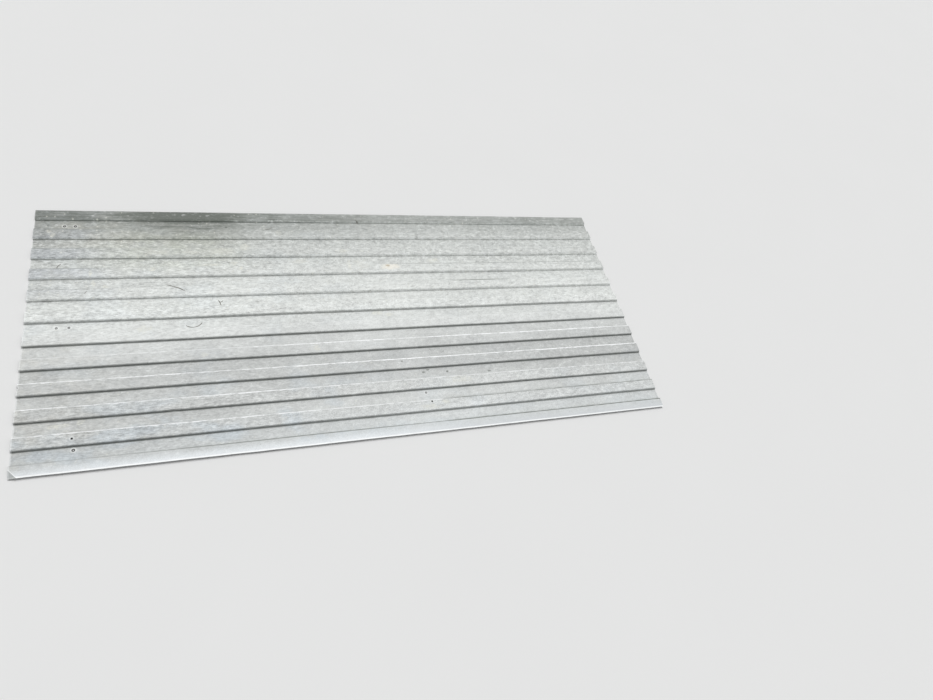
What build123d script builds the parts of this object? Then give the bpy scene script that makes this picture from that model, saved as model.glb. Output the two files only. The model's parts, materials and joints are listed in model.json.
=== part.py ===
from build123d import *
import math
import os

# A roll-formed wall and roof sheet of hot-dip galvanised steel, lying flat, crests up.
# The ribs run along X and the covering width runs along Y. The undersides of the valleys are at z = 0.
# All sizes are in millimetres and all angles in degrees.

# Sizes of the sheet
sheet_length = 2500
steel_thickness = 0.5

# Sizes of the rolled section, on the underside of the steel between the theoretical corners of its bends
rib_pitch = 100
valley_count = 11
valley_flat = 44.5
flank_run = 5.5
rib_rise = 9
inner_bend_radius = 1.5
upper_flange = 42.25
lower_flange = 42.25

# Screw holes left from an earlier use
hole_diameter = 5
end_row_inset = 103
end_row_spacing = 38
end_row_offset = -7
middle_row_inset = 102
middle_row_spacing = 40
middle_row_offset = 1
low_crest_hole_inset = 173
low_crest_hole_offset = 0
low_valley_hole_inset = 178
low_valley_hole_offset = 11
support_valley_hole_inset = 1420
support_valley_hole_offset = 9
support_crest_hole_inset = 1434
support_crest_hole_offset = 14

# Corner of the lower flange at the left end, bent down by a knock
bent_corner_along = 27
bent_corner_up = 32
bent_tip_height = 2
bent_crease_radius = 2

# Derived sizes
crest_flat = rib_pitch - valley_flat - 2 * flank_run
sheet_width = lower_flange + valley_count * rib_pitch - crest_flat + upper_flange
left_end = -sheet_length / 2
lower_edge = -sheet_width / 2
upper_edge = sheet_width / 2


def valley_centre(from_top):
    """Y of the middle of a valley, counted from 1 at the upper edge."""
    return upper_edge - upper_flange - flank_run - valley_flat / 2 - (from_top - 1) * rib_pitch


def crest_centre(from_top):
    """Y of the middle of an inner crest, counted from 1 at the upper edge."""
    return valley_centre(from_top) - rib_pitch / 2


# The underside of the section, from the lower edge to the upper edge
section_corners = [(lower_edge, rib_rise)]
corner_radii = []
for valley in range(valley_count):
    first_corner = lower_edge + lower_flange + valley * rib_pitch
    section_corners += [
        (first_corner, rib_rise),
        (first_corner + flank_run, 0),
        (first_corner + flank_run + valley_flat, 0),
        (first_corner + 2 * flank_run + valley_flat, rib_rise),
    ]
    crest_radius = inner_bend_radius
    valley_radius = inner_bend_radius + steel_thickness
    corner_radii += [crest_radius, valley_radius, valley_radius, crest_radius]
section_corners.append((upper_edge, rib_rise))

# Screw holes as (distance from the left end, Y)
end_row_y = valley_centre(1) + end_row_offset
middle_row_y = valley_centre(6) + middle_row_offset
hole_places = [
    (end_row_inset, end_row_y),
    (end_row_inset + end_row_spacing, end_row_y),
    (middle_row_inset, middle_row_y),
    (middle_row_inset + middle_row_spacing, middle_row_y),
    (low_crest_hole_inset, crest_centre(10) + low_crest_hole_offset),
    (low_valley_hole_inset, valley_centre(11) + low_valley_hole_offset),
    (support_valley_hole_inset, valley_centre(10) + support_valley_hole_offset),
    (support_crest_hole_inset, crest_centre(10) + support_crest_hole_offset),
]

# The crease of the bent corner runs from the left end to the lower edge
crease_start = Vector(left_end, lower_edge + bent_corner_up, rib_rise)
crease_end = Vector(left_end + bent_corner_along, lower_edge, rib_rise)
crease_length = (crease_end - crease_start).length
crease_direction = (crease_end - crease_start).normalized()
outward = Vector(-bent_corner_up, -bent_corner_along, 0).normalized()

# The corner lies opposite this point of the crease, and this far from it
corner_foot = bent_corner_up**2 / crease_length
corner_reach = bent_corner_along * bent_corner_up / crease_length

# The bend uses up a strip of the corner, measured on its outer side, and what is left is the flat tip
bend_angle = math.degrees(math.asin((rib_rise - bent_tip_height) / corner_reach))
bend_strip = (bent_crease_radius + steel_thickness) * math.radians(bend_angle)
tip_start = corner_foot * bend_strip / corner_reach
tip_end = crease_length - (crease_length - corner_foot) * bend_strip / corner_reach
bend_centre = crease_start - Vector(0, 0, bent_crease_radius)
tip_normal = Vector(0, 0, 1).rotate(Axis((0, 0, 0), crease_direction), bend_angle)
tip_plane = Plane(
    origin=bend_centre + tip_normal * bent_crease_radius,
    x_dir=crease_direction,
    z_dir=tip_normal,
)

with BuildPart() as corrugated_sheet:
    # The rolled section, drawn on its underside and thickened upwards
    with BuildSketch(Plane.YZ.offset(left_end)):
        with BuildLine():
            FilletPolyline(*section_corners, radius=corner_radii)
            offset(amount=steel_thickness, side=Side.LEFT)
        make_face()
    extrude(amount=sheet_length)

    # The screw holes, drilled straight down through whichever flat they meet
    with Locations(*[(left_end + inset, y, rib_rise) for inset, y in hole_places]):
        Hole(radius=hole_diameter / 2)

    # The corner is cut away along the crease and put back as a bend and a turned-down tip
    with BuildSketch():
        with BuildLine():
            Polyline(
                (crease_start.X, crease_start.Y),
                (left_end, lower_edge),
                (crease_end.X, crease_end.Y),
                close=True,
            )
        make_face()
    extrude(amount=rib_rise + steel_thickness, mode=Mode.SUBTRACT)

    with BuildSketch(Plane(origin=crease_start, x_dir=crease_direction, z_dir=outward)):
        with Locations((tip_start, 0)):
            Rectangle(tip_end - tip_start, steel_thickness, align=(Align.MIN, Align.MIN))
    revolve(axis=Axis(bend_centre, crease_direction), revolution_arc=bend_angle)

    with BuildSketch(tip_plane):
        with BuildLine():
            Polyline(
                (tip_start, 0),
                (tip_end, 0),
                (corner_foot, bend_strip - corner_reach),
                close=True,
            )
        make_face()
    extrude(amount=steel_thickness)

corrugated_sheet.part.label = "corrugated_sheet"

os.makedirs("parts", exist_ok=True)
export_step(corrugated_sheet.part, "parts/corrugated_sheet.step")
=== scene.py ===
import json
import math

import bmesh
import bpy
from mathutils import Matrix, Vector, noise


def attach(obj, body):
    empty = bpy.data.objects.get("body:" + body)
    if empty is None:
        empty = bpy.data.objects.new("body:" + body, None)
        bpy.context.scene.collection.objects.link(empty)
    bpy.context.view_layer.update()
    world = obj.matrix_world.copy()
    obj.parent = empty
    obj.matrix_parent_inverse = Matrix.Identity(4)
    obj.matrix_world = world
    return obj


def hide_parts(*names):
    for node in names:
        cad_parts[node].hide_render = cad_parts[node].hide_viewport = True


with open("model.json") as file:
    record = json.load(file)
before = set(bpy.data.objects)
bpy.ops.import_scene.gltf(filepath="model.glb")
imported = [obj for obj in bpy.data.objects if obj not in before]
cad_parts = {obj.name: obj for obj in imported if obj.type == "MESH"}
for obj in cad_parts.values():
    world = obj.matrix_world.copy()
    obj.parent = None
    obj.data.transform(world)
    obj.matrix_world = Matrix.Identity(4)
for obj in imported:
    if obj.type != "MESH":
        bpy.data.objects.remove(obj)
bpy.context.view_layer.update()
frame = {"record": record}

# A weathered sheet of hot-dip galvanised steel with trapezoidal ribs, lying flat on a pale floor,
# crests up. All sizes are in metres. The ribs run along X and the covering width runs along Y.
# The floor is at z = 0. The upper edge, which is the top in use, is at +Y, and the left end at -X.

MM = 0.001
ALONG = (1, 0, 0)
ACROSS = (0, 1, 0)
SAME_PLACE = 1e-6

# The rolled section, on the underside of the steel
SHEET_LENGTH = 2500 * MM
SHEET_WIDTH = 1140 * MM
STEEL = 0.5 * MM
PITCH = 100 * MM
VALLEYS = 11
FLANGE = 42.25 * MM
FLANK_RUN = 5.5 * MM
VALLEY_FLAT = 44.5 * MM
RISE = 9 * MM
CREST_BEND = 1.5 * MM
VALLEY_BEND = CREST_BEND + STEEL
FLANK_SLOPE = math.atan2(RISE, FLANK_RUN)

LEFT_END = -SHEET_LENGTH / 2
RIGHT_END = SHEET_LENGTH / 2
LOWER_EDGE = -SHEET_WIDTH / 2
UPPER_EDGE = SHEET_WIDTH / 2
FIRST_FOLD = LOWER_EDGE + FLANGE
LAST_FOLD = UPPER_EDGE - FLANGE

# How finely the steel is divided. HOLE_PATCH is half the side of the finer square round a screw hole.
FOLD_STEPS = 3
STRIPS_IN_FLAT = 4
PIECES_ALONG = 164
HOLE_PATCH = 6.5 * MM
HOLE_STEPS = 24
HOLE_RINGS = 2

# How far cuts go round a hole, a knock in a fold, a knock in an end and the bent corner, along X and Y
ROUND_HOLE = (HOLE_PATCH + 8 * MM, HOLE_PATCH + 6 * MM)
ROUND_FOLD_KNOCK = (20 * MM, 12 * MM)
ROUND_END_KNOCK = (14 * MM, 16 * MM)
ROUND_CORNER = (45 * MM, 38 * MM)

# The corner of the lower flange at the left end, bent down by a knock
CORNER_ALONG = 27 * MM
CORNER_UP = 32 * MM
CORNER_TIP_HEIGHT = 2 * MM
CREASE_RADIUS = 2 * MM

# Knocks: where, how far along X and Y they reach, and how far they push the steel
FOLD_KNOCK = (-0.762, -0.3735)
END_KNOCK = (LEFT_END, -0.243)
KNOCKS = [
    (FOLD_KNOCK, (14 * MM, 7 * MM), (0, 1.8 * MM, -1.6 * MM)),
    (END_KNOCK, (6 * MM, 6 * MM), (4.5 * MM, 0, -1.5 * MM)),
    ((LEFT_END, 0.118), (7 * MM, 5 * MM), (2.5 * MM, 0, -1.2 * MM)),
    ((-0.745, -0.3715), (9 * MM, 5 * MM), (0, -0.6 * MM, -0.8 * MM)),
    ((0.41, 0.221), (26 * MM, 9 * MM), (0, 0.8 * MM, -1.2 * MM)),
    ((0.93, -0.276), (22 * MM, 8 * MM), (0, 1.2 * MM, -1.6 * MM)),
]

# A knock is felt for this many of its reaches. Round the first two the steel is finer, in steps.
KNOCK_END = 3
FOLD_KNOCK_STEP = 6 * MM
END_KNOCK_STEP = 4.5 * MM

# Wear: how far folds wander, ragged ends reach in, and screws drew up or down the steel round their holes
FOLD_WANDER = 1.3 * MM
RAGGED_END_REACH = 30 * MM
VALLEY_BURR = 1.2 * MM
CREST_BURR = -0.8 * MM
BURR_REACH = 1.4 * MM

# Room inside the sheet's true width and height, since the steel's outer skin leans out a hair at dents
EDGE_ROOM = 0.02 * MM
CREST_ROOM = 0.16 * MM


# The steel


def put_in_scene(name, data):
    made = bpy.data.objects.new(name, data)
    bpy.context.scene.collection.objects.link(made)
    return made


def everything(bm):
    return bm.verts[:] + bm.edges[:] + bm.faces[:]


def near(bm, middle, reach):
    """The faces whose middle is this close to a point along X and Y, with their edges and corners."""
    faces = [
        face
        for face in bm.faces
        for centre in [face.calc_center_median()]
        if abs(centre.x - middle[0]) < reach[0] and abs(centre.y - middle[1]) < reach[1]
    ]
    edges = dict.fromkeys(edge for face in faces for edge in face.edges)
    corners = dict.fromkeys(corner for face in faces for corner in face.verts)
    return [*corners, *edges, *faces]


def cut(bm, where, facing, parts=None):
    """Divides the steel, or only these parts of it, along a plane."""
    bmesh.ops.bisect_plane(
        bm, geom=parts or everything(bm), dist=0.1 * SAME_PLACE, plane_co=where, plane_no=facing
    )


def rib_folds():
    """Y of the crest folds and of the valley folds, from the lower edge up."""
    crest, valley = [], []
    for number in range(VALLEYS):
        start = FIRST_FOLD + number * PITCH
        crest += [start, start + 2 * FLANK_RUN + VALLEY_FLAT]
        valley += [start + FLANK_RUN, start + FLANK_RUN + VALLEY_FLAT]
    return crest, valley


def runs_lengthwise(edge):
    return abs(edge.verts[0].co.y - edge.verts[1].co.y) < SAME_PLACE


def round_folds(bm, height, radius):
    """Gives every sharp fold at this height its bend radius."""
    folds = [
        edge
        for edge in bm.edges
        if len(edge.link_faces) == 2
        and all(abs(corner.co.z - height) < SAME_PLACE for corner in edge.verts)
        and runs_lengthwise(edge)
    ]
    bmesh.ops.bevel(
        bm,
        geom=folds,
        offset=radius * math.tan(FLANK_SLOPE / 2),
        offset_type="OFFSET",
        segments=FOLD_STEPS,
        profile=0.5,
        affect="EDGES",
        material=-1,
    )


def divide_flats(bm, crest, valley):
    """Divides every flat between its folds into narrow strips."""
    flats = [(valley[k], valley[k + 1]) for k in range(0, 2 * VALLEYS, 2)]
    flats += [(crest[k], crest[k + 1]) for k in range(1, 2 * VALLEYS - 1, 2)]
    flats += [(LOWER_EDGE, FIRST_FOLD), (LAST_FOLD, UPPER_EDGE)]
    for start, end in flats:
        for strip in range(1, STRIPS_IN_FLAT):
            cut(bm, (0, start + (end - start) * strip / STRIPS_IN_FLAT, 0), ACROSS)


def rolled_steel():
    """The flat blank, cut along its fold lines, with its valleys pressed down and its folds rounded."""
    bm = bmesh.new()
    bmesh.ops.create_grid(bm, x_segments=1, y_segments=1, size=0.5)
    bmesh.ops.scale(bm, vec=(SHEET_LENGTH, SHEET_WIDTH, 1), verts=bm.verts)
    bmesh.ops.translate(bm, vec=(0, 0, RISE), verts=bm.verts)
    crest, valley = rib_folds()
    for y in crest + valley:
        cut(bm, (0, y, 0), ACROSS)
    pressed = [v for v in bm.verts if any(abs(v.co.y - y) < SAME_PLACE for y in valley)]
    bmesh.ops.translate(bm, vec=(0, 0, -RISE), verts=pressed)
    round_folds(bm, RISE, CREST_BEND)
    round_folds(bm, 0, VALLEY_BEND)
    divide_flats(bm, crest, valley)
    lengthwise = [edge for edge in bm.edges if runs_lengthwise(edge)]
    bmesh.ops.subdivide_edges(bm, edges=lengthwise, cuts=PIECES_ALONG - 1, use_grid_fill=True)
    return bm


def edges_in(parts):
    return [part for part in parts if isinstance(part, bmesh.types.BMEdge)]


def faces_in(parts):
    return [part for part in parts if isinstance(part, bmesh.types.BMFace)]


def take_out_patch(bm, centre):
    """Takes out a small square of steel, and gives the divided edges round the gap."""
    for facing in (ALONG, ACROSS):
        for side in (-HOLE_PATCH, HOLE_PATCH):
            cut(bm, centre + Vector(facing) * side, facing, near(bm, centre, ROUND_HOLE))
    patch = near(bm, centre, (HOLE_PATCH, HOLE_PATCH))
    faces = faces_in(patch)
    rim = [edge for edge in edges_in(patch) if any(face not in faces for face in edge.link_faces)]
    bmesh.ops.delete(bm, geom=faces, context="FACES")
    divided = bmesh.ops.subdivide_edges(bm, edges=rim, cuts=2)
    return [edge for edge in edges_in(divided["geom"]) + rim if edge.is_valid and edge.is_boundary]


def open_hole(bm, centre, radius):
    """Opens a round screw hole, with rings of steel round it fine enough for its burr."""
    rim = take_out_patch(bm, centre)
    hole = bmesh.ops.create_circle(
        bm, segments=HOLE_STEPS, radius=radius, matrix=Matrix.Translation(centre)
    )
    edge_of_hole = [edge for corner in hole["verts"] for edge in corner.link_edges]
    ring = bmesh.ops.bridge_loops(bm, edges=list(dict.fromkeys(rim + edge_of_hole)))
    divided = bmesh.ops.subdivide_edges(bm, edges=ring["edges"], cuts=HOLE_RINGS)
    bm.normal_update()
    for face in faces_in(divided["geom"]):
        if face.normal.z < 0:
            face.normal_flip()


def screw_holes():
    """The middle of every screw hole that the record states, and its radius."""
    holes = []
    for mount in frame["record"]["mounts"]:
        sizes = mount["dims"]
        middle = Vector(mount["pos_m"])
        level = RISE if middle.z > RISE / 2 else 0
        if mount["kind"] == "bolt_pattern":
            half = sizes["spacing_x_mm"] * MM / 2
            places = [middle.x - half, middle.x + half]
            radius = sizes["hole_r_mm"] * MM
        elif mount["kind"] == "bore":
            places = [middle.x]
            radius = sizes["r_mm"] * MM
        else:
            continue
        holes += [(Vector((x, middle.y, level)), radius) for x in places]
    return holes


def corner_crease():
    """A point of the crease, the direction out to the corner, the bend's angle, and how wide it is."""
    start = Vector((LEFT_END, LOWER_EDGE + CORNER_UP, RISE))
    end = Vector((LEFT_END + CORNER_ALONG, LOWER_EDGE, RISE))
    outward = Vector((-CORNER_UP, -CORNER_ALONG, 0)).normalized()
    reach = CORNER_ALONG * CORNER_UP / (end - start).length
    angle = math.asin((RISE - CORNER_TIP_HEIGHT) / reach)
    strip = (CREASE_RADIUS + STEEL) * angle
    return start, outward, angle, strip


def divide_corner(bm):
    """Cuts the steel along the crease, and twice more within the bend."""
    start, outward, _, strip = corner_crease()
    for part in (0, 0.5, 1):
        corner = (LEFT_END, LOWER_EDGE)
        cut(bm, start + outward * strip * part, outward, near(bm, corner, ROUND_CORNER))


def divide_knocks(bm):
    """Makes the steel finer where it is knocked hardest, in a lower fold and in the left end."""
    for step in (-2, -1, 0, 1, 2):
        place = (FOLD_KNOCK[0] + step * FOLD_KNOCK_STEP, FOLD_KNOCK[1], 0)
        cut(bm, place, ALONG, near(bm, place, ROUND_FOLD_KNOCK))
    for step in (-2, -1, 0, 1, 2):
        place = (END_KNOCK[0], END_KNOCK[1] + step * END_KNOCK_STEP, 0)
        cut(bm, place, ACROSS, near(bm, place, ROUND_END_KNOCK))


def bend_corner(point):
    """Where a point of the flat flange goes when its corner is bent down."""
    start, outward, angle, strip = corner_crease()
    beyond = (point - start).dot(outward)
    if beyond <= 0 or point.z < RISE - SAME_PLACE:
        return point
    turned = angle * min(beyond / strip, 1)
    straight = max(beyond - strip, 0)
    out = CREASE_RADIUS * math.sin(turned) + straight * math.cos(turned)
    down = CREASE_RADIUS * (1 - math.cos(turned)) + straight * math.sin(turned)
    return point + outward * (out - beyond) - Vector((0, 0, down))


def wave(*at):
    """A smooth random number from -1 to 1 that is always the same at the same place."""
    return noise.noise(Vector(at))


def varied(usual, most, *at):
    """A length in metres that varies smoothly by up to most about the usual one, both in millimetres."""
    return (usual + most * wave(*at)) * MM


def fade(value, start, end):
    """Goes smoothly from 0 at start to 1 at end."""
    share = min(max((value - start) / (end - start), 0), 1)
    return share * share * (3 - 2 * share)


def slack(x, y, z):
    """How far a thin flat stands off its true plane: crests and edge flanges sink, and valleys rise."""
    if y < FIRST_FOLD:
        out = (FIRST_FOLD - y) / FLANGE
        return -varied(0.7, 0.9, x / 0.33, 3.1, 0) * out * out
    if y > LAST_FOLD:
        out = (y - LAST_FOLD) / FLANGE
        return -varied(0.6, 0.8, x / 0.41, 8.3, 0) * out * out
    step = (y - FIRST_FOLD) % PITCH
    rib = (y - FIRST_FOLD) // PITCH
    on_valley = z < RISE / 2
    start = FLANK_RUN if on_valley else 2 * FLANK_RUN + VALLEY_FLAT
    width = VALLEY_FLAT if on_valley else PITCH - 2 * FLANK_RUN - VALLEY_FLAT
    share = (step - start) / width
    if not 0 < share < 1:
        return 0
    most = varied(0.22, 0.3, x / 0.21, 2.7 * rib, 4 if on_valley else 9)
    return max(most, 0) * math.sin(math.pi * share) * (1 if on_valley else -1)


def knocked(x, y):
    """How far the knocks push a point of the steel."""
    pushed = Vector()
    for (knock_x, knock_y), (reach_x, reach_y), push in KNOCKS:
        far = ((x - knock_x) / reach_x) ** 2 + ((y - knock_y) / reach_y) ** 2
        if far < KNOCK_END**2:
            pushed += Vector(push) * math.exp(-far)
    return pushed


def burr(x, y, z, holes):
    """How far the screws drew the steel up or down round their holes."""
    drawn = 0
    for middle, radius in holes:
        beyond = math.hypot(x - middle.x, y - middle.y) - radius
        if beyond < HOLE_PATCH and abs(z - middle.z) < RISE / 2:
            most = VALLEY_BURR if middle.z < RISE / 2 else CREST_BURR
            drawn += most * math.exp(-max(beyond, 0) / BURR_REACH)
    return drawn


def settle(point, holes):
    """The true shape of used steel: slack flats, wandering folds, sheared ends, knocks, burred holes."""
    x, y, z = point
    inside = 1 - fade(abs(y), UPPER_EDGE - FLANGE, UPPER_EDGE)
    at_end = fade(abs(x), RIGHT_END - RAGGED_END_REACH, RIGHT_END)
    ragged_edge = max(varied(0.35, 0.5, x / 0.06, y, 17), 0) * (1 - inside)
    ragged_end = max(varied(0.6, 0.9, x, y / 0.045, 23), 0) * at_end
    moved = point + knocked(x, y)
    moved.x -= math.copysign(ragged_end, x)
    moved.y += FOLD_WANDER * wave(x / 0.47, y / 0.13, 5) * inside - math.copysign(ragged_edge, y)
    moved.z += slack(x, y, z) + burr(x, y, z, holes)
    moved.x = min(max(moved.x, LEFT_END), RIGHT_END)
    moved.y = min(max(moved.y, LOWER_EDGE + EDGE_ROOM), UPPER_EDGE - EDGE_ROOM)
    moved.z = max(moved.z, 0)
    return moved


def shaped_steel():
    """The sheet as one skin, its underside, with each point's place on the unbent sheet kept as "plan"."""
    bm = rolled_steel()
    holes = screw_holes()
    for middle, radius in holes:
        open_hole(bm, middle, radius)
    divide_knocks(bm)
    divide_corner(bm)
    plan = bm.verts.layers.float_vector.new("plan")
    for corner in bm.verts:
        corner[plan] = corner.co
        bent = bend_corner(corner.co)
        corner.co = settle(corner.co, holes) if bent == corner.co else bent
        corner.co.z = min(corner.co.z, RISE - CREST_ROOM)
    for face in bm.faces:
        face.smooth = True
    return bm


def corrugated_steel():
    """The whole sheet as one thin closed shell."""
    bm = shaped_steel()
    mesh = bpy.data.meshes.new("corrugated_steel")
    bm.to_mesh(mesh)
    bm.free()
    sheet = put_in_scene("corrugated_steel", mesh)
    shell = sheet.modifiers.new("steel_thickness", "SOLIDIFY")
    shell.thickness = STEEL
    shell.offset = 1
    shell.use_even_offset = True
    shell.use_quality_normals = True
    shell.material_offset = 1
    sheet.modifiers.new("even_shading", "WEIGHTED_NORMAL")
    return sheet


# The finish


class Finish:
    """A procedural finish, built up from nodes. Each step takes and gives sockets or plain values."""

    def __init__(self, name):
        self.material = bpy.data.materials.new(name)
        self.material.use_nodes = True
        self.tree = self.material.node_tree
        self.tree.nodes.clear()
        self.place = None
        self.surface = None

    def node(self, kind, *values, named=None, **options):
        made = self.tree.nodes.new("ShaderNode" + kind)
        for option, value in options.items():
            setattr(made, option, value)
        for socket, value in [*enumerate(values), *(named or {}).items()]:
            if isinstance(value, bpy.types.NodeSocket):
                self.tree.links.new(value, made.inputs[socket])
            else:
                made.inputs[socket].default_value = value
        return made

    def calc(self, operation, *values, clamp=False):
        return self.node("Math", *values, operation=operation, use_clamp=clamp).outputs[0]

    def product(self, first, *more):
        for value in more:
            first = self.calc("MULTIPLY", first, value)
        return first

    def total(self, first, *more):
        for value in more:
            first = self.calc("ADD", first, value)
        return first

    def strongest(self, first, *more):
        for value in more:
            first = self.calc("MAXIMUM", first, value)
        return first

    def move(self, operation, *values):
        return self.node("VectorMath", *values, operation=operation).outputs[0]

    def off(self, middle, scale=(1.0, 1.0)):
        """How far the place is off a point of the sheet along X and Y, each times its scale."""
        moved = self.move("SUBTRACT", self.place, (middle[0], middle[1], 0.0))
        return self.move("MULTIPLY", moved, (*scale, 0.0))

    def length(self, vector):
        return self.node("VectorMath", vector, operation="LENGTH").outputs["Value"]

    def reach_along(self, vector, direction):
        """How far a vector reaches along a direction on the sheet."""
        ahead = (direction.x, direction.y, 0.0)
        return self.node("VectorMath", vector, ahead, operation="DOT_PRODUCT").outputs["Value"]

    def span(self, value, start, end, at_start=0.0, at_end=1.0):
        """Goes smoothly from at_start to at_end while value goes from start to end."""
        return self.node(
            "MapRange", value, start, end, at_start, at_end, interpolation_type="SMOOTHSTEP"
        ).outputs[0]

    def hill(self, value, middle, half_width):
        """1 at the middle, 0 from half_width away."""
        off = self.calc("ABSOLUTE", self.calc("SUBTRACT", value, middle))
        return self.span(off, 0.0, half_width, 1.0, 0.0)

    def blend(self, amount, under, over):
        """A plain value between two others."""
        return self.node("Mix", named={0: amount, 2: under, 3: over}).outputs[0]

    def cloud(self, size, seed, detail=3.0, rough=0.5, swirl=0.0, drawn_out=1.0):
        """Soft random patches of about this size, around 0.5. drawn_out makes them longer along X."""
        fineness = (1 / size / drawn_out, 1 / size, 1 / size)
        offset = (seed, 1.7 * seed, 3.1 * seed)
        scaled = self.move("MULTIPLY_ADD", self.place, fineness, offset)
        settings = {"Vector": scaled, "Scale": 1.0, "Detail": detail, "Roughness": rough}
        return self.node("TexNoise", named={**settings, "Distortion": swirl}).outputs[0]

    def cells(self, scale):
        """Random cells on the sheet: how far off a cell's middle is, and its own random numbers."""
        settings = {"Vector": self.place, "Scale": scale}
        cell = self.node("TexVoronoi", named=settings, voronoi_dimensions="2D").outputs
        return cell["Distance"], self.node("SeparateColor", cell["Color"]).outputs

    def swing(self, cloudy, amount):
        """Turns a value around 0.5 into one around 0, this many times as strong."""
        return self.calc("MULTIPLY_ADD", cloudy, amount, -amount / 2)

    def scaled(self, surface, factor):
        """A colour, brighter or darker by a factor."""
        return self.node("VectorMath", surface, named={"Scale": factor}, operation="SCALE").outputs[0]

    def shade(self, plain, tone):
        """A plain colour, brighter or darker by a factor."""
        return self.scaled(plain[:3], tone)

    def paint(self, amount, under, over):
        """A colour between two others."""
        return self.node("Mix", named={0: amount, 6: under, 7: over}, data_type="RGBA").outputs[2]

    def coat(self, amount, over):
        """Paints the surface over with a colour by this amount."""
        self.surface = self.paint(amount, self.surface, over)

    def done(self, metal, roughness, height):
        """Joins everything in one shader. The height is fine relief in metres."""
        relief = self.node("Bump", named={"Strength": 1.0, "Distance": 1.0, "Height": height})
        shader = self.node(
            "BsdfPrincipled",
            named={
                "Base Color": self.surface,
                "Metallic": metal,
                "Roughness": roughness,
                "Normal": relief.outputs[0],
            },
        )
        output = self.node("OutputMaterial", shader.outputs[0])
        output.target = "ALL"
        return self.material


def colour(red, green, blue):
    return (red, green, blue, 1.0)


ZINC = colour(0.652, 0.669, 0.651)
LOWER_ZINC = colour(0.650, 0.664, 0.654)
UNDERSIDE_ZINC = colour(0.585, 0.610, 0.620)
# Grime, also used as painted shade at flank feet, far flanks, shoulders and the lower fold
GRIME_AND_PAINTED_SHADE = colour(0.165, 0.180, 0.160)
# Painted shade for the flanks that face the lower edge
PAINTED_FLANK_SHADE = colour(0.085, 0.092, 0.088)
CHALK = colour(0.850, 0.862, 0.850)
CREAM = colour(0.880, 0.875, 0.780)
BEIGE = colour(0.660, 0.640, 0.575)
COOL = colour(0.600, 0.655, 0.695)
LAVENDER = colour(0.535, 0.560, 0.590)
OLIVE = colour(0.640, 0.660, 0.585)
# Painted light on the lower flange
PAINTED_FLANGE_LIGHT = colour(0.800, 0.830, 0.850)
# Bare cut zinc, also used for painted highlights on shoulders, the lower rim and the corner crease
BARE_EDGE_AND_HIGHLIGHT = colour(0.930, 0.940, 0.945)
# Painted shade for the bent-down corner
SHADED_CORNER = colour(0.26, 0.28, 0.25)
RUST = colour(0.41, 0.33, 0.22)
RUSTY_CREAM = colour(0.905, 0.865, 0.765)
THIN_STAIN = colour(0.115, 0.105, 0.085)
# Dirt at the screw holes, also painted shade for the holes
HOLE_DIRT_AND_SHADE = colour(0.030, 0.028, 0.025)
FLOOR = colour(0.880, 0.878, 0.870)

# Cream and white patches: the middle, how far they reach along X and Y, and how strong they are
CREAM_BLOTCHES = [
    ((-1.184, 0.441), (0.009, 0.016), 0.75),
    ((-1.196, 0.460), (0.008, 0.012), 0.65),
    ((-1.130, 0.496), (0.050, 0.020), 0.25),
    ((-1.046, 0.243), (0.007, 0.016), 0.95),
    ((-1.036, 0.200), (0.008, 0.020), 0.80),
    ((-0.995, 0.185), (0.012, 0.008), 0.60),
    ((-0.830, 0.262), (0.014, 0.012), 0.85),
    ((-0.810, 0.350), (0.045, 0.014), 0.45),
    ((-0.690, 0.350), (0.030, 0.014), 0.40),
    ((-0.565, 0.352), (0.060, 0.018), 0.40),
    ((-0.475, 0.378), (0.022, 0.020), 0.70),
    ((-0.605, 0.287), (0.045, 0.006), 0.65),
    ((-0.522, 0.294), (0.014, 0.012), 0.70),
    ((-0.497, 0.260), (0.009, 0.009), 0.95),
    ((-0.330, 0.452), (0.014, 0.014), 0.45),
    ((-0.250, 0.300), (0.040, 0.014), 0.50),
    ((-0.055, 0.350), (0.026, 0.010), 0.55),
    ((0.025, 0.350), (0.010, 0.006), 0.80),
    ((-0.042, 0.275), (0.009, 0.032), 0.55),
    ((0.012, 0.275), (0.036, 0.030), 0.30),
    ((0.352, 0.296), (0.030, 0.012), 0.60),
    ((-0.860, -0.020), (0.030, 0.022), 0.55),
    ((0.040, 0.010), (0.030, 0.010), 0.60),
    ((0.085, 0.003), (0.024, 0.008), 0.60),
    ((-0.655, -0.150), (0.014, 0.012), 0.60),
    ((-0.240, -0.150), (0.018, 0.014), 0.60),
    ((-1.115, -0.398), (0.040, 0.010), 0.65),
    ((-1.056, -0.390), (0.012, 0.014), 0.65),
    ((0.330, -0.345), (0.060, 0.016), 0.60),
    ((0.165, -0.458), (0.040, 0.012), 0.60),
    ((0.240, -0.442), (0.018, 0.010), 0.60),
]

# Small dark spots, in the same way
DARK_SPOTS = [
    ((-0.542, 0.492), (0.006, 0.005), 0.75),
    ((-0.055, 0.380), (0.004, 0.005), 0.70),
    ((0.232, -0.186), (0.004, 0.003), 0.55),
    ((0.287, -0.201), (0.004, 0.003), 0.55),
    ((0.096, -0.241), (0.006, 0.004), 0.70),
    ((0.200, -0.285), (0.008, 0.004), 0.75),
    ((0.180, -0.295), (0.009, 0.005), 0.65),
    ((0.283, -0.300), (0.006, 0.005), 0.80),
    ((0.470, -0.313), (0.010, 0.004), 0.70),
]

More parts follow.
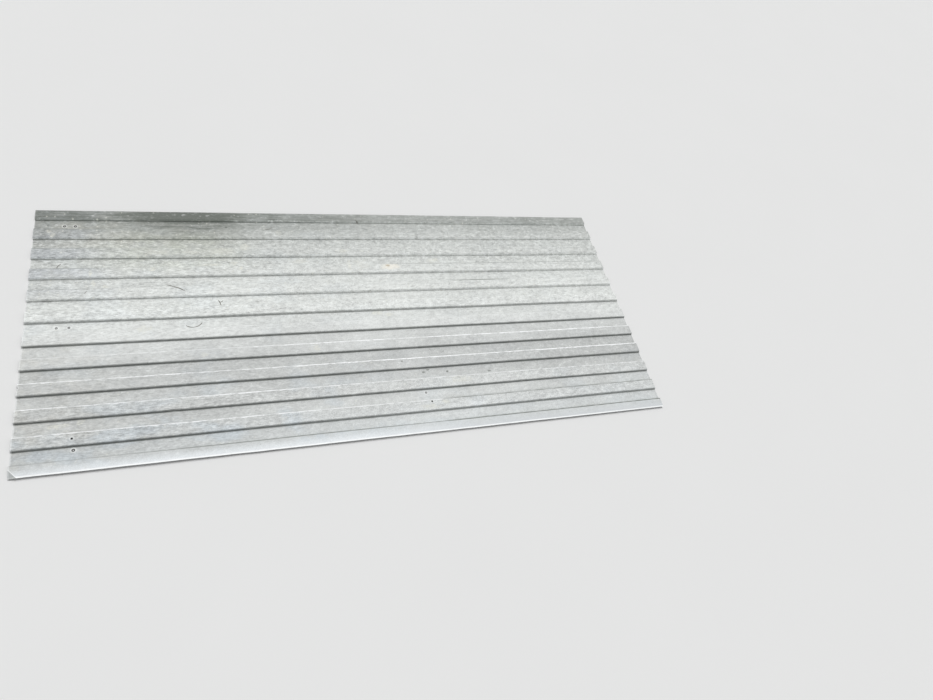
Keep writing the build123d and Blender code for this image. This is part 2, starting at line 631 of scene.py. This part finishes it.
# Thin curved marks: from, to, how far the middle stands off to the left, and half the width
THIN_MARKS = [
    ((-0.7790, 0.1868), (-0.7600, 0.1792), 1.0 * MM, 2.3 * MM),
    ((-0.7600, 0.1724), (-0.7165, 0.1500), 3.5 * MM, 2.3 * MM),
    ((-0.7150, -0.0100), (-0.6580, 0.0000), -14 * MM, 1.7 * MM),
    ((-1.1620, 0.2785), (-1.1490, 0.2990), 3 * MM, 1.7 * MM),
    ((-0.3830, 0.4785), (-0.3560, 0.4845), 1.5 * MM, 1.8 * MM),
    ((-0.3560, 0.4925), (-0.3340, 0.4955), 1.5 * MM, 1.5 * MM),
    ((-0.5935, 0.1040), (-0.5850, 0.0800), 2 * MM, 2.2 * MM),
    ((-0.5870, 0.0955), (-0.5765, 0.1030), -2 * MM, 1.6 * MM),
    ((-1.0620, 0.1500), (-1.0560, 0.1590), 1 * MM, 1.4 * MM),
    ((0.0230, 0.5335), (0.0345, 0.5200), 2 * MM, 2.4 * MM),
]

# A rust spot in a cream halo: the middle and the reach of each
RUST_SPOT = ((0.130, 0.262), (0.011, 0.006))
RUST_HALO = ((0.140, 0.256), (0.046, 0.019))

# A stain fades out between these shares of its reach
STAIN_FADES = 0.55
STAIN_ENDS = 1.15

# How many places to a metre may have a cream speck or a dark pit
SPECKS = 34.0
PITS = 46.0

# Parts of a rib, by how far they are below the middle of a near flank, which is one facing the lower edge
NEAR_FOOT = 3.4 * MM
FAR_FOOT = 46.0 * MM
FAR_FLANK = 49.5 * MM
# Where the painted highlight on the shoulders runs
HIGHLIGHT_LINE = 53.4 * MM
SHOULDER = 54.2 * MM

# How far the dark collar of dirt and painted shade reaches from the middle of a screw hole on a crest, in a
# valley and in an outermost valley
CREST_COLLAR = 3.3 * MM
VALLEY_COLLAR = 3.7 * MM
OUTER_VALLEY_COLLAR = 4.7 * MM

# An outermost valley is further than this from the middle of the sheet
OUTERMOST = 460 * MM

# Zinc crystals to a metre, how far and how finely their borders wander, and feathering in radians a metre
CRYSTALS = 110.0
BORDER_WANDER = 6 * MM
BORDER_FINENESS = 260.0
FEATHERING = 4200.0


# The layers. An amount goes from 0 to 1, a tone is a factor, and a place is one of the unbent sheet.


def find_places(f):
    """The place on the unbent sheet, as a vector and as X, Y and Z."""
    f.place = f.node("Attribute", attribute_type="GEOMETRY", attribute_name="plan").outputs["Vector"]
    f.x, f.y, f.z = f.node("SeparateXYZ", f.place).outputs[:3]


def grow_crystals(f):
    """Zinc crystals about 9 mm across. Each has its own grey, and fine feathering that runs its own way."""
    settings = {"Vector": f.place, "Scale": BORDER_FINENESS, "Detail": 2.0}
    wander = f.node("TexNoise", named=settings).outputs[1]
    place = f.move("MULTIPLY_ADD", wander, (BORDER_WANDER, BORDER_WANDER, 0.0), f.place)
    crystal = f.node("TexVoronoi", named={"Vector": place, "Scale": CRYSTALS}, voronoi_dimensions="2D")
    own = f.node("SeparateColor", crystal.outputs["Color"]).outputs
    turn = f.calc("MULTIPLY", own[1], math.tau)
    run = f.total(f.product(f.x, f.calc("COSINE", turn)), f.product(f.y, f.calc("SINE", turn)))
    f.own_grey = f.calc("SUBTRACT", own[0], 0.5)
    f.feather = f.calc("SINE", f.calc("MULTIPLY", run, FEATHERING))


def find_rows(f):
    """How far a point is below a near flank's middle and its upper fold, and whether it is on a crest."""
    down = f.calc("SUBTRACT", LAST_FOLD - FLANK_RUN / 2, f.y)
    rib = f.calc("FLOOR", f.calc("DIVIDE", down, PITCH))
    f.below = f.calc("SUBTRACT", down, f.calc("MULTIPLY", rib, PITCH))
    f.onto_flank = f.calc("FLOORED_MODULO", f.total(down, FLANK_RUN / 2), PITCH)
    f.on_crest = f.span(f.z, 0.3 * RISE, 0.7 * RISE)


def scatter_patterns(f):
    """The random patterns that several layers share."""
    f.grain = f.cloud(4.4 * MM, 1.0, rough=0.6)
    f.mottle = f.cloud(15 * MM, 2.0, detail=5.0, rough=0.62, swirl=0.25, drawn_out=1.6)
    f.patches = f.cloud(60 * MM, 3.0, swirl=0.5, drawn_out=1.8)
    f.streaks = f.cloud(5 * MM, 5.0, rough=0.55, drawn_out=22.0)
    f.broken = f.cloud(9 * MM, 8.0, drawn_out=4.0)
    f.flecks = f.cloud(4 * MM, 11.0, detail=4.0, rough=0.62, drawn_out=3.5)


def blotch(f, middle, reach, raggedness, rough_edge):
    """A stain at one place: 1 inside, 0 outside, with a torn edge."""
    off = f.off(middle, (1 / reach[0], 1 / reach[1]))
    far = f.total(f.length(off), f.swing(raggedness, rough_edge))
    return f.span(far, STAIN_FADES, STAIN_ENDS, 1.0, 0.0)


def blotches(f, places, raggedness, rough_edge):
    """All the stains of a list, each as strong as the list says."""
    return f.strongest(
        *[
            f.product(blotch(f, middle, reach, raggedness, rough_edge), strength)
            for middle, reach, strength in places
        ]
    )


def thread(f, start, end, sag, half_width):
    """A thin mark along an arc. sag is how far its middle stands off the straight line, to the left."""
    first, last = Vector(start), Vector(end)
    half = (last - first).length / 2
    left = Vector((first.y - last.y, last.x - first.x)).normalized() * math.copysign(1, sag)
    radius = (half * half + sag * sag) / (2 * abs(sag))
    centre = (first + last) / 2 - left * (radius - abs(sag))
    off = f.off(centre)
    across = f.calc("ABSOLUTE", f.calc("SUBTRACT", f.length(off), radius))
    to_ends = math.sqrt(max(radius * radius - half * half, 0)) * (1 if radius > abs(sag) else -1)
    return f.product(
        f.span(across, 0.4 * half_width, 1.2 * half_width, 1.0, 0.0),
        f.span(f.reach_along(off, left), to_ends - 0.5 * MM, to_ends + 0.5 * MM),
    )


def tone_of_texture(f):
    """The grain of the zinc, drawn out along the ribs towards the left, and stronger on some rows."""
    fibres = f.cloud(4.0 * MM, 13.0, rough=0.6, drawn_out=3.8)
    fine = f.blend(f.span(f.x, -0.10, -0.60, 0.30, 0.75), f.grain, fibres)
    by_row = f.total(
        f.span(f.y, -0.12, 0.10, 0.80, 1.30),
        f.span(f.y, 0.20, 0.30, 0.0, 0.60),
        f.product(f.on_crest, f.span(f.y, -0.28, -0.33, 0.0, 0.45)),
        f.product(f.on_crest, f.hill(f.y, 0.06, 0.14), 0.40),
        f.span(f.y, -0.522, -0.530, 0.0, -0.85),
    )
    high = f.span(f.y, 0.02, 0.42)
    return f.total(
        f.product(f.total(f.swing(fine, 1.08), f.swing(f.mottle, 0.72)), by_row),
        f.swing(f.patches, 0.25),
        f.swing(f.cloud(300 * MM, 4.0, detail=2.0, drawn_out=1.6), 0.18),
        f.product(f.swing(f.streaks, 0.36), f.span(high, 0.0, 1.0, 0.35, 1.0)),
        f.product(f.own_grey, 0.10),
        f.product(f.feather, 0.010),
    )


def painted_light_of_rows(f):
    """Painted light and shade by row, with the valleys darker just under the near flanks."""
    middle_rows = f.product(f.span(f.y, 0.28, 0.18), f.span(f.y, -0.24, -0.16))
    # Painted light and shade: some rows brighter or darker, valleys darker under the near flanks
    return f.total(
        f.product(f.on_crest, middle_rows, 0.035),
        f.product(f.hill(f.below, 3 * MM, 22 * MM), -0.05),
        f.span(f.y, -0.02, -0.19, 0.0, -0.17),
        f.span(f.y, -0.30, -0.37, 0.0, 0.05),
        f.span(f.y, -0.42, -0.47, 0.0, 0.03),
        f.product(f.hill(f.y, 0.40, 0.045), -0.045),
        f.product(f.hill(f.y, -0.22, 0.06), -0.035),
    )


def tone_along_rows(f):
    """How much darker some rows get towards the left end, or brighter towards the right end."""
    at_end = f.span(f.x, -1.12, -1.23)
    dark_rows = f.total(f.span(f.y, 0.06, 0.14, 0.0, -0.07), f.span(f.y, 0.34, 0.42, 0.0, -0.08))
    return f.total(
        f.product(at_end, dark_rows),
        f.product(f.span(f.y, -0.31, -0.35), f.span(f.x, -1.10, 0.50, -0.06, 0.06)),
        f.product(f.hill(f.y, 0.17, 0.075), f.span(f.x, -0.40, -0.90, -0.035, -0.095)),
        f.product(f.on_crest, f.hill(f.y, 0.0, 0.12), f.span(f.x, -0.95, -1.15, 0.0, -0.06)),
    )


def lay_zinc(f):
    """The zinc itself, brighter and darker from place to place, with painted light and shade by row."""
    f.tone = f.total(1.0, tone_of_texture(f), painted_light_of_rows(f), tone_along_rows(f))
    lower = f.span(f.y, 0.10, -0.12)
    f.surface = f.paint(lower, f.shade(ZINC, f.tone), f.shade(LOWER_ZINC, f.tone))


def tint_areas(f):
    """Cooler zinc low down, warmer and darker areas at the left, and an olive cast under the upper edge."""
    cool = f.product(
        f.span(f.cloud(90 * MM, 6.0, drawn_out=1.6), 0.48, 0.66),
        f.span(f.y, -0.10, -0.50, 0.15, 0.55),
        f.span(f.x, -0.30, 0.10, 1.0, 0.35),
    )
    cool = f.total(cool, f.span(f.y, -0.40, -0.50, 0.0, 0.14))
    f.coat(cool, f.shade(COOL, f.tone))
    left_and_low = f.product(f.span(f.x, -0.85, -1.20), f.span(f.y, 0.0, -0.16))
    left_and_high = f.product(f.span(f.x, -0.40, -0.75), f.span(f.y, 0.36, 0.42))
    warm = f.span(f.cloud(45 * MM, 7.0, drawn_out=1.5), 0.44, 0.60, 0.15, 1.0)
    warm = f.product(warm, f.total(f.product(left_and_low, 0.24), f.product(left_and_high, 0.40)))
    f.coat(warm, f.shade(BEIGE, f.tone))
    upper_left_crests = f.product(
        f.span(f.x, -0.92, -1.12), f.span(f.y, 0.10, 0.24), f.span(f.below, 48 * MM, 54 * MM)
    )
    lavender = f.product(upper_left_crests, f.span(f.patches, 0.35, 0.55, 0.35, 0.65))
    f.coat(lavender, f.shade(LAVENDER, f.tone))
    olive = f.product(
        f.hill(f.x, -0.76, 0.42), f.hill(f.y, 0.38, 0.18), f.span(f.patches, 0.35, 0.60, 0.4, 0.9)
    )
    f.coat(olive, f.shade(OLIVE, f.tone))


def darken_under_upper_edge(f):
    """Darker streaks under the upper edge, heaviest to the left of the middle."""
    rising = f.total(f.span(f.y, 0.16, 0.36, 0.0, 0.22), f.span(f.y, 0.40, 0.50, 0.0, 0.32))
    most = f.total(rising, f.product(f.span(f.y, 0.512, 0.534), 0.31))
    under_the_edge = f.product(f.hill(f.x, -0.70, 0.32), f.span(f.y, 0.28, 0.46, 0.0, 0.55))
    on_top_flange = f.total(
        f.product(f.hill(f.x, -0.74, 0.20), 0.28),
        f.product(f.hill(f.x, -0.46, 0.12), -0.15),
        f.product(f.hill(f.x, -1.02, 0.12), -0.12),
        f.span(f.x, -1.14, -1.22, 0.0, 0.12),
    )
    along = f.total(
        f.span(f.x, 0.40, -0.65, 0.60, 0.95),
        under_the_edge,
        f.product(on_top_flange, f.span(f.y, 0.518, 0.530)),
    )
    dirty = f.product(most, along, f.total(1.0, f.swing(f.streaks, 1.6), f.swing(f.patches, 0.9)))
    f.dirty = f.calc("MAXIMUM", dirty, 0.0, clamp=True)
    # Darkens the streaks under the upper edge
    f.coat(f.dirty, GRIME_AND_PAINTED_SHADE)


def dust_with_chalk(f):
    """Fine chalky flecks drawn out along the ribs, and a soft chalky bloom."""
    fleck = f.product(
        f.span(f.flecks, 0.55, 0.66),
        f.span(f.y, -0.15, 0.12, 0.20, 0.62),
        f.span(f.dirty, 0.0, 0.5, 1.0, 0.4),
        f.span(f.y, 0.515, 0.530, 1.0, 0.5),
    )
    f.coat(fleck, CHALK)
    f.bloom = f.product(f.span(f.mottle, 0.56, 0.74), f.span(f.patches, 0.38, 0.60, 0.25, 1.0), 0.55)
    f.coat(f.bloom, CHALK)


def sprinkle_cream(f):
    """Loose cream specks, and the cream patches that have places of their own."""
    distance, chosen = f.cells(SPECKS)
    size = f.span(chosen[0], 0.55, 1.0, 0.0, 0.13)
    speck = f.span(f.calc("SUBTRACT", distance, size), -0.03, 0.03, 1.0, 0.0)
    f.speck = f.product(speck, f.span(chosen[0], 0.58, 0.66), f.span(f.grain, 0.35, 0.55, 0.3, 1.0))
    f.coat(f.product(f.speck, f.span(f.y, -0.10, 0.15, 0.25, 0.42)), CREAM)
    patch = blotches(f, CREAM_BLOTCHES, f.mottle, 3.0)
    f.cream = f.product(patch, f.span(f.flecks, 0.42, 0.60, 0.25, 1.0))
    f.coat(f.product(f.cream, 0.85), CREAM)


def spot_with_grime(f):
    """Dark spots with places of their own, and loose dark pits."""
    f.coat(blotches(f, DARK_SPOTS, f.grain, 1.5), GRIME_AND_PAINTED_SHADE)
    distance, chosen = f.cells(PITS)
    f.pit = f.product(f.span(distance, 0.03, 0.07, 1.0, 0.0), f.span(chosen[1], 0.90, 0.92))
    f.coat(f.product(f.pit, 0.6), GRIME_AND_PAINTED_SHADE)


def darken_near_flanks(f):
    """Painted shade on the near flanks and their feet, weaker high up and far right; painted light on upper
    flank tops.
    """
    # Painted shade on the flanks that face the lower edge
    f.flank = f.product(
        f.span(f.onto_flank, 1.3 * MM, 2.4 * MM), f.span(f.onto_flank, 5.4 * MM, 6.4 * MM, 1.0, 0.0)
    )
    less_shade_right = f.product(f.span(f.x, -0.95, 0.15), f.span(f.y, -0.33, -0.48, 0.0, -0.36))
    sheltered = f.total(f.span(f.y, 0.12, -0.13, 0.06, 0.86), less_shade_right)
    f.coat(f.product(f.flank, sheltered, f.span(f.broken, 0.25, 0.65, 1.0, 0.75)), PAINTED_FLANK_SHADE)
    # Painted shade at the foot of each near flank
    foot = f.product(f.hill(f.below, NEAR_FOOT, 4.4 * MM), f.span(f.broken, 0.30, 0.60, 0.6, 1.0))
    f.coat(f.product(foot, f.span(f.y, -0.05, 0.12, 0.45, 0.25)), GRIME_AND_PAINTED_SHADE)
    lit_part = f.span(f.x, -0.60, 0.20, 3.0 * MM, 4.4 * MM)
    # Painted light: the tops of the upper flanks are brightened
    top_of_flank = f.product(
        f.span(f.calc("SUBTRACT", f.onto_flank, lit_part), -0.5 * MM, 0.5 * MM, 1.0, 0.0),
        f.span(f.onto_flank, 0.0, 0.8 * MM),
        f.span(f.y, -0.02, 0.12, 0.15, 0.85),
        f.total(f.span(f.y, 0.22, 0.36, 0.50, 0.95), f.span(f.y, 0.48, 0.52, 0.0, 0.35)),
    )
    f.surface = f.scaled(f.surface, f.total(1.0, top_of_flank))


def darken_far_flanks(f):
    """Painted shade on the flanks that face the upper edge, at their feet, and along some shoulders."""
    # Painted shade on the flanks that face the upper edge
    far_flank = f.product(f.hill(f.below, FAR_FLANK, 3.0 * MM), f.span(f.broken, 0.30, 0.58, 0.5, 1.0))
    f.coat(f.product(far_flank, f.span(f.y, -0.17, -0.10, 0.02, 0.55)), GRIME_AND_PAINTED_SHADE)
    f.lower_right = f.product(f.span(f.x, 0.21, 0.27), f.span(f.y, -0.38, -0.42))
    upper_left = f.product(f.span(f.x, -0.90, -1.08), f.span(f.y, 0.05, 0.20))
    upper_right = f.product(f.span(f.x, -0.05, 0.45), f.span(f.y, 0.05, 0.22))
    high_right = f.product(f.span(f.x, 0.38, 0.45), f.span(f.x, 0.72, 0.60), f.hill(f.y, 0.175, 0.06), 1.5)
    highest = f.product(f.span(f.x, 0.05, 0.20), f.hill(f.y, 0.271, 0.02), 0.55)
    # Painted shade along some crest shoulders, and painted shadow lines high on the right
    shaded_shoulders = f.strongest(
        f.product(upper_left, 0.6), f.product(f.lower_right, 1.1), f.total(high_right, highest)
    )
    shoulder = f.product(f.hill(f.below, SHOULDER, 2.6 * MM), f.span(f.broken, 0.30, 0.58, 0.4, 1.0))
    f.coat(f.product(shoulder, shaded_shoulders), GRIME_AND_PAINTED_SHADE)
    # Painted shade at the feet of the far flanks
    far_foot = f.product(f.hill(f.below, FAR_FOOT, 5.0 * MM), f.span(f.broken, 0.30, 0.58, 0.3, 1.0))
    where = f.total(f.product(f.strongest(upper_right, f.lower_right), 0.16), 0.05)
    f.coat(f.product(far_foot, where), GRIME_AND_PAINTED_SHADE)


def paint_shoulder_highlights(f):
    """A painted highlight along the shoulders of the lower crests, stronger on some and broken up."""
    ragged = f.cloud(14 * MM, 9.0, detail=4.0, rough=0.65, drawn_out=2.2)
    line_at = f.total(HIGHLIGHT_LINE, f.swing(ragged, 10 * MM))
    off_line = f.calc("ABSOLUTE", f.calc("SUBTRACT", f.below, line_at))
    low_ribs = f.product(f.span(f.y, -0.075, -0.115), f.span(f.y, -0.50, -0.44))
    rightward = f.span(f.x, -1.10, 0.40)
    growing = f.total(0.30, f.product(rightward, 0.80), f.span(f.y, -0.16, -0.20, 0.0, 0.35))
    fading = f.calc("MULTIPLY_ADD", rightward, -0.42, 0.92)
    by_rib = f.blend(f.span(f.y, -0.26, -0.30), growing, fading)
    faint_above = f.span(f.y, 0.04, -0.02, 0.05, 0.14)
    # Painted highlight along the crest shoulders
    shoulder_highlight = f.product(
        f.span(off_line, 1.5 * MM, 3.6 * MM, 1.0, 0.0),
        f.total(f.product(low_ribs, by_rib, f.span(f.y, -0.37, -0.42, 1.0, 0.84)), faint_above),
        f.calc("SUBTRACT", 1.0, f.product(f.lower_right, 0.85)),
        f.span(f.cloud(120 * MM, 10.0, drawn_out=3.0), 0.36, 0.56, 0.55, 1.0),
        f.span(f.cloud(9 * MM, 12.0, drawn_out=2.5), 0.36, 0.52, 0.35, 1.0),
    )
    f.coat(f.calc("MINIMUM", shoulder_highlight, 1.0), BARE_EDGE_AND_HIGHLIGHT)


def light_lower_flange(f):
    """The lower flange, with painted light brightening it towards the free edge, a painted highlight along
    its rim and a painted shadow at its fold.
    """
    # Painted light: the flange gets brighter towards its free edge
    flange_light = f.total(
        f.span(f.y, -0.530, -0.567, 0.04, 0.80), f.swing(f.mottle, 0.45), f.swing(f.grain, 0.45)
    )
    flange_light = f.product(f.calc("ADD", flange_light, 0.0, clamp=True), f.span(f.y, -0.5285, -0.5320))
    towards_ends = f.total(f.span(f.x, -0.95, -1.20, 0.0, -0.05), f.span(f.x, -0.20, 0.50, 0.0, -0.22))
    flange_light_tone = f.total(1.02, towards_ends, f.swing(f.mottle, 0.2), f.swing(f.grain, 0.3))
    f.coat(flange_light, f.shade(PAINTED_FLANGE_LIGHT, flange_light_tone))
    # Painted highlight along the free edge
    f.coat(f.product(f.span(f.y, -0.5632, -0.5658), 0.97), BARE_EDGE_AND_HIGHLIGHT)
    along = f.product(f.span(f.x, -1.00, -0.55, 0.40, 1.0), f.span(f.x, -0.05, 0.15, 1.0, 0.75))
    # Painted shadow along the flange's fold
    fold_shadow = f.product(
        f.hill(f.y, -0.5265, 5.5 * MM), f.span(f.broken, 0.35, 0.60, 0.75, 1.0), along
    )
    f.coat(fold_shadow, GRIME_AND_PAINTED_SHADE)


def shade_bent_corner(f):
    """The bent corner, with painted shade on its facet and a painted highlight along the crease."""
    start, outward, _, strip = corner_crease()
    beyond = f.reach_along(f.off(start), outward)
    bent = f.span(beyond, 0.2 * strip, strip)
    # Painted shade on the bent-down facet
    f.coat(f.product(bent, f.span(f.mottle, 0.35, 0.60, 0.50, 0.38)), SHADED_CORNER)
    # Painted highlight along the crease
    f.coat(f.product(f.hill(beyond, 0.2 * strip, 1.8 * MM), 0.7), BARE_EDGE_AND_HIGHLIGHT)


def brighten_cut_edge(f):
    """The bright cut edge at the left end."""
    cut_edge = f.product(
        f.span(f.x, -1.2450, -1.2475),
        f.span(f.y, 0.30, -0.25, 0.10, 0.42),
        f.span(f.grain, 0.30, 0.50, 0.6, 1.0),
    )
    f.coat(cut_edge, BARE_EDGE_AND_HIGHLIGHT)


def stain(f):
    """A rust spot in a cream halo, and thin curved stains."""
    halo = blotch(f, *RUST_HALO, f.mottle, 1.6)
    rust = blotch(f, *RUST_SPOT, f.grain, 1.6)
    f.coat(f.product(halo, f.span(f.flecks, 0.40, 0.56, 0.25, 0.62)), RUSTY_CREAM)
    f.coat(f.product(rust, 0.65), RUST)
    thin = f.strongest(*[thread(f, *mark) for mark in THIN_MARKS])
    f.coat(f.product(thin, f.span(f.grain, 0.3, 0.5, 0.85, 1.0)), THIN_STAIN)


def collar_reach(middle):
    """How far the dark collar goes from the middle of a screw hole."""
    if middle.z > RISE / 2:
        return CREST_COLLAR
    return OUTER_VALLEY_COLLAR if abs(middle.y) > OUTERMOST else VALLEY_COLLAR


def darken_holes(f, holes):
    """Dirt at the screw holes, made dark enough to be painted shade for the holes, inside a washed-out
    ring.
    """
    past_collar = 1.0
    for middle, _ in holes:
        away = f.length(f.move("SUBTRACT", f.place, middle))
        past_collar = f.calc("MINIMUM", past_collar, f.calc("SUBTRACT", away, collar_reach(middle)))
    ring = f.product(f.hill(past_collar, 3.2 * MM, 4 * MM), 0.42)
    collar = f.span(past_collar, 0.0, 1.0 * MM, 1.0, 0.0)
    f.coat(ring, CHALK)
    # Painted shade: a dark collar of dirt that stands in for the dark seen through each hole
    f.coat(f.product(collar, 0.97), HOLE_DIRT_AND_SHADE)


def weathered_zinc(holes):
    """The upper side, layer over layer."""
    f = Finish("weathered_zinc")
    find_places(f)
    find_rows(f)
    scatter_patterns(f)
    grow_crystals(f)
    lay_zinc(f)
    tint_areas(f)
    darken_under_upper_edge(f)
    dust_with_chalk(f)
    sprinkle_cream(f)
    spot_with_grime(f)
    darken_near_flanks(f)
    darken_far_flanks(f)
    paint_shoulder_highlights(f)
    light_lower_flange(f)
    shade_bent_corner(f)
    brighten_cut_edge(f)
    stain(f)
    darken_holes(f, holes)

    dull = f.total(f.bloom, f.cream, f.product(f.speck, 0.6), f.dirty, f.product(f.flank, 0.4))
    dull = f.calc("MINIMUM", dull, 1.0)
    metal = f.calc("MULTIPLY_ADD", dull, -0.22, 0.30)
    roughness = f.total(
        0.70,
        f.product(dull, 0.10),
        f.swing(f.mottle, 0.22),
        f.swing(f.grain, 0.10),
        f.product(f.own_grey, 0.06),
    )
    height = f.total(
        f.swing(f.grain, 0.030 * MM),
        f.swing(f.mottle, 0.090 * MM),
        f.product(f.feather, 0.002 * MM),
        f.product(f.own_grey, 0.010 * MM),
        f.product(f.speck, 0.05 * MM),
        f.product(f.pit, -0.05 * MM),
    )
    return f.done(metal, roughness, height)


def sheltered_zinc():
    """The underside: brighter crystals, a few rings of white storage stain and no dirt."""
    f = Finish("sheltered_zinc")
    find_places(f)
    grow_crystals(f)
    grain = f.cloud(3 * MM, 31.0, detail=2.0)
    mottle = f.cloud(30 * MM, 32.0, detail=5.0, rough=0.6, swirl=0.25)
    crystals = f.total(f.product(f.own_grey, 0.26), f.product(f.feather, 0.03))
    tone = f.total(1.0, crystals, f.swing(mottle, 0.3), f.swing(grain, 0.12))
    f.surface = f.shade(UNDERSIDE_ZINC, tone)
    storage = f.product(f.hill(mottle, 0.55, 0.05), f.span(f.cloud(200 * MM, 33.0), 0.48, 0.60))
    f.coat(f.product(storage, 0.7), CHALK)
    metal = f.calc("MULTIPLY_ADD", storage, -0.5, 0.72)
    roughness = f.total(
        0.38, f.product(f.own_grey, 0.12), f.product(storage, 0.3), f.swing(mottle, 0.15)
    )
    height = f.total(
        f.product(f.own_grey, 0.012 * MM), f.product(f.feather, 0.002 * MM), f.product(storage, 0.03 * MM)
    )
    return f.done(metal, roughness, height)


def pale_floor():
    f = Finish("pale_floor")
    f.place = f.node("TexCoord").outputs["Object"]
    cloudy = f.cloud(0.5, 41.0, detail=4.0)
    f.surface = f.shade(FLOOR, f.total(1.0, f.swing(cloudy, 0.02)))
    shader = f.node(
        "BsdfPrincipled", named={"Base Color": f.surface, "Roughness": 0.85, "Specular IOR Level": 0.2}
    )
    f.node("OutputMaterial", shader.outputs[0])
    return f.material


# The studio

BACKDROP = colour(0.785, 0.785, 0.778)
WORLD_LIGHT = colour(0.97, 0.985, 1.0)
WORLD_STRENGTH = 0.38
KEY_LIGHT_TOWARDS = (0.10, 0.46, 0.88)
KEY_LIGHT_SPREAD = 40
KEY_LIGHT_STRENGTH = 1.82
FLOOR_REACH = 80

# The camera: its place, where it looks, its roll in degrees, its focal length, and the picture's width
CAMERA_PLACE = (-0.606, -1.551, 2.250)
CAMERA_FORWARD = (0.3563, 0.4805, -0.8014)
CAMERA_ROLL = -26.99
FOCAL_PIXELS = 650
PICTURE_PIXELS = 933


def floor():
    bm = bmesh.new()
    bmesh.ops.create_grid(bm, x_segments=1, y_segments=1, size=FLOOR_REACH)
    mesh = bpy.data.meshes.new("floor")
    bm.to_mesh(mesh)
    bm.free()
    made = put_in_scene("floor", mesh)
    made.data.materials.append(pale_floor())


def soft_sun(name, towards, spread, strength):
    """Even, soft light from one side. spread is how wide the light is, in degrees."""
    lamp = bpy.data.lights.new(name, "SUN")
    lamp.energy = strength
    lamp.angle = math.radians(spread)
    made = put_in_scene(name, lamp)
    made.rotation_euler = Vector(towards).to_track_quat("Z", "Y").to_euler()


def seen_or_mirrored(tree):
    """1 for what the camera sees straight, in a mirror or through glass, and 0 for light on the object."""
    path = tree.nodes.new("ShaderNodeLightPath")
    seen = path.outputs["Is Camera Ray"]
    for ray in ("Is Glossy Ray", "Is Transmission Ray"):
        either = tree.nodes.new("ShaderNodeMath")
        either.operation = "MAXIMUM"
        tree.links.new(seen, either.inputs[0])
        tree.links.new(path.outputs[ray], either.inputs[1])
        seen = either.outputs[0]
    return seen


def studio():
    """A soft key light, an even world light, and a pale backdrop that the camera and reflections see."""
    world = bpy.data.worlds.new("studio")
    bpy.context.scene.world = world
    world.use_nodes = True
    tree = world.node_tree
    light = tree.nodes["Background"]
    light.inputs["Color"].default_value = WORLD_LIGHT
    light.inputs["Strength"].default_value = WORLD_STRENGTH
    backdrop = tree.nodes.new("ShaderNodeBackground")
    backdrop.inputs["Color"].default_value = BACKDROP
    chosen = tree.nodes.new("ShaderNodeMixShader")
    tree.links.new(seen_or_mirrored(tree), chosen.inputs[0])
    tree.links.new(light.outputs[0], chosen.inputs[1])
    tree.links.new(backdrop.outputs[0], chosen.inputs[2])
    tree.links.new(chosen.outputs[0], tree.nodes["World Output"].inputs["Surface"])
    soft_sun("key_light", KEY_LIGHT_TOWARDS, KEY_LIGHT_SPREAD, KEY_LIGHT_STRENGTH)


def camera():
    """Stands where the photograph was taken from, seen from the sheet laid flat."""
    forward = Vector(CAMERA_FORWARD).normalized()
    roll = math.radians(CAMERA_ROLL)
    level = forward.cross(Vector((0, 0, 1))).normalized()
    upright = level.cross(forward)
    up = upright * math.cos(roll) + level * math.sin(roll)
    right = forward.cross(up)
    lens = bpy.data.cameras.new("camera")
    lens.sensor_width = 36
    lens.lens = FOCAL_PIXELS / PICTURE_PIXELS * lens.sensor_width
    lens.clip_start = 0.05
    lens.clip_end = 300
    made = put_in_scene("camera", lens)
    turned = Matrix((right, up, -forward)).transposed().to_4x4()
    made.matrix_world = Matrix.Translation(CAMERA_PLACE) @ turned
    bpy.context.scene.camera = made


bpy.context.scene.view_settings.view_transform = "Standard"
camera()
sheet = corrugated_steel()
sheet.data.materials.append(weathered_zinc(screw_holes()))
sheet.data.materials.append(sheltered_zinc())
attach(sheet, "root")
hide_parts("corrugated_sheet")
floor()
studio()
